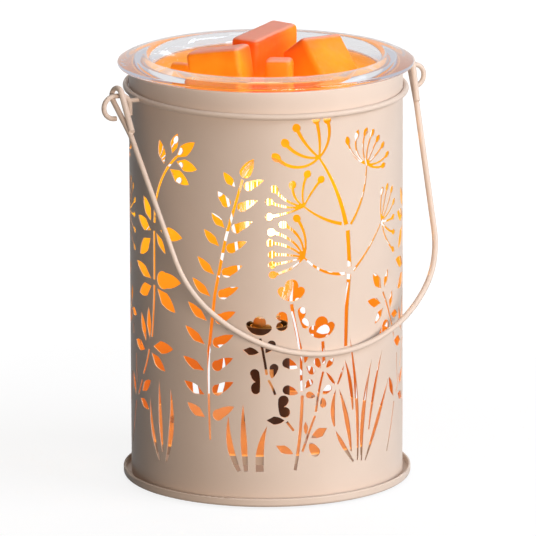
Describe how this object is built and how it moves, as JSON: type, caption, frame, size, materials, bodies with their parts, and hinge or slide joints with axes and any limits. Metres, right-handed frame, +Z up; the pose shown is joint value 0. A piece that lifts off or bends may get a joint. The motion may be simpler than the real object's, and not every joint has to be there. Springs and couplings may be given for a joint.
{
  "type": "light bulb wax warmer",
  "caption": "Pierced sheet-metal lantern wax warmer with a swinging wire handle, a clear glass dish of wax melts on its rim and a tubular bulb inside.",
  "frame": {"origin": "middle of the footprint, on the surface that the feet stand on", "axes": "+Z up, X along the line through the two ears that carry the handle, -Y the front, where the handle hangs"},
  "size_m": [0.1532, 0.1244, 0.1903],
  "materials": {
    "warm_satin_paint": "satin",
    "foot_rubber": "matte",
    "zinc_steel": "satin",
    "socket_brass": "satin",
    "dark_phenolic": "matte",
    "cap_glass": "gloss",
    "solder": "satin",
    "bulb_glass": "gloss",
    "filament_wire": "glowing",
    "dish_glass": "gloss",
    "orange_wax": "waxy"
  },
  "bodies": {
    "housing": {"base_tray": "warm_satin_paint", "pierced_body": "warm_satin_paint", "body_tab_1": "warm_satin_paint", "body_tab_2": "warm_satin_paint", "body_tab_3": "warm_satin_paint", "neck_hoop": "warm_satin_paint", "ear_left": "warm_satin_paint", "ear_right": "warm_satin_paint", "rubber_foot_1": "foot_rubber", "rubber_foot_2": "foot_rubber", "rubber_foot_3": "foot_rubber", "rubber_foot_4": "foot_rubber", "cable_bush": "foot_rubber", "tab_screw_1": "zinc_steel", "tab_screw_2": "zinc_steel", "tab_screw_3": "zinc_steel", "tab_nut_1": "zinc_steel", "tab_nut_2": "zinc_steel", "tab_nut_3": "zinc_steel", "platform_spacer_1": "zinc_steel", "platform_spacer_2": "zinc_steel", "platform_spacer_3": "zinc_steel", "platform_bolt_1": "zinc_steel", "platform_bolt_2": "zinc_steel", "platform_bolt_3": "zinc_steel", "platform_nut_1": "zinc_steel", "platform_nut_2": "zinc_steel", "platform_nut_3": "zinc_steel", "bracket_screw": "zinc_steel", "bracket_nut": "zinc_steel", "socket_platform": "zinc_steel", "socket_bracket": "socket_brass", "socket_shell": "socket_brass", "socket_contact": "socket_brass", "socket_holder": "dark_phenolic", "socket_sleeve": "dark_phenolic"},
    "handle": {"bail": "warm_satin_paint"},
    "dish": {"glass_dish": "dish_glass"},
    "wax": {"wax_melt_1": "orange_wax", "wax_melt_2": "orange_wax", "wax_melt_3": "orange_wax", "wax_melt_4": "orange_wax", "wax_melt_5": "orange_wax", "wax_melt_6": "orange_wax"},
    "bulb": {"bulb_cap": "socket_brass", "bulb_cap_insulator": "cap_glass", "bulb_cap_contact": "solder", "bulb_glass": "bulb_glass", "bulb_stem": "bulb_glass", "bulb_filament": "filament_wire", "bulb_filament_supports": "filament_wire"}
  },
  "joints": [
    {"name": "handle_swing", "type": "hinge", "parent": "housing", "child": "handle", "pos_m": [0, 0, 0.17], "axis": [-1, 0, 0], "range_deg": [0, 301.3]},
    {"name": "dish_lift", "type": "slide", "parent": "housing", "child": "dish", "axis": [0, 0, 1], "range_m": [0, 0.06]},
    {"name": "wax_lift", "type": "slide", "parent": "dish", "child": "wax", "axis": [0, 0, 1], "range_m": [0, 0.05]},
    {"name": "bulb_turn", "type": "hinge", "parent": "housing", "child": "bulb", "pos_m": [0, 0, 0.06], "axis": [0, 0, 1], "range_deg": [0, 1080]}
  ]
}
